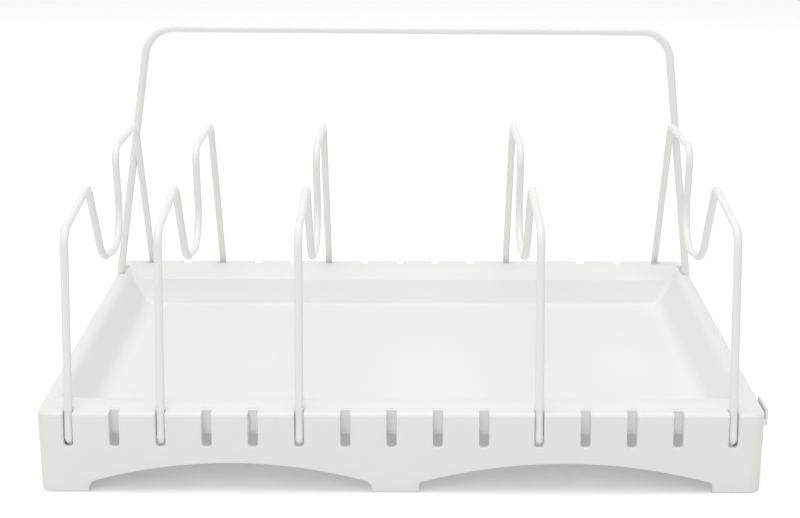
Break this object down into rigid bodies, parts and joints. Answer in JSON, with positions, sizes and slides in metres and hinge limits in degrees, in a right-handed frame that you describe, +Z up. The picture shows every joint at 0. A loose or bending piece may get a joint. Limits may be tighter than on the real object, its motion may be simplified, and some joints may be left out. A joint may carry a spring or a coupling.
{
  "type": "pot lid rack",
  "caption": "White pot lid rack: a moulded tray with a row of slots front and back, bent wire lid dividers that hook into the slots, and a tall wire rail across the back.",
  "frame": {"origin": "on the surface that the rack stands on, under the middle of the tray", "axes": "+X to the right along the slot rows, +Y to the back where the tall rail stands, +Z up"},
  "size_m": [0.3329, 0.26, 0.1827],
  "materials": {
    "white_plastic": "white moulded plastic with a soft satin sheen",
    "coated_wire": "steel wire with a smooth white coating, softly glossy"
  },
  "bodies": {
    "root": {"tray": "white_plastic", "lid_divider_1": "coated_wire", "lid_divider_2": "coated_wire", "lid_divider_3": "coated_wire", "lid_divider_4": "coated_wire", "lid_divider_5": "coated_wire", "tall_rail": "coated_wire"}
  },
  "joints": []
}
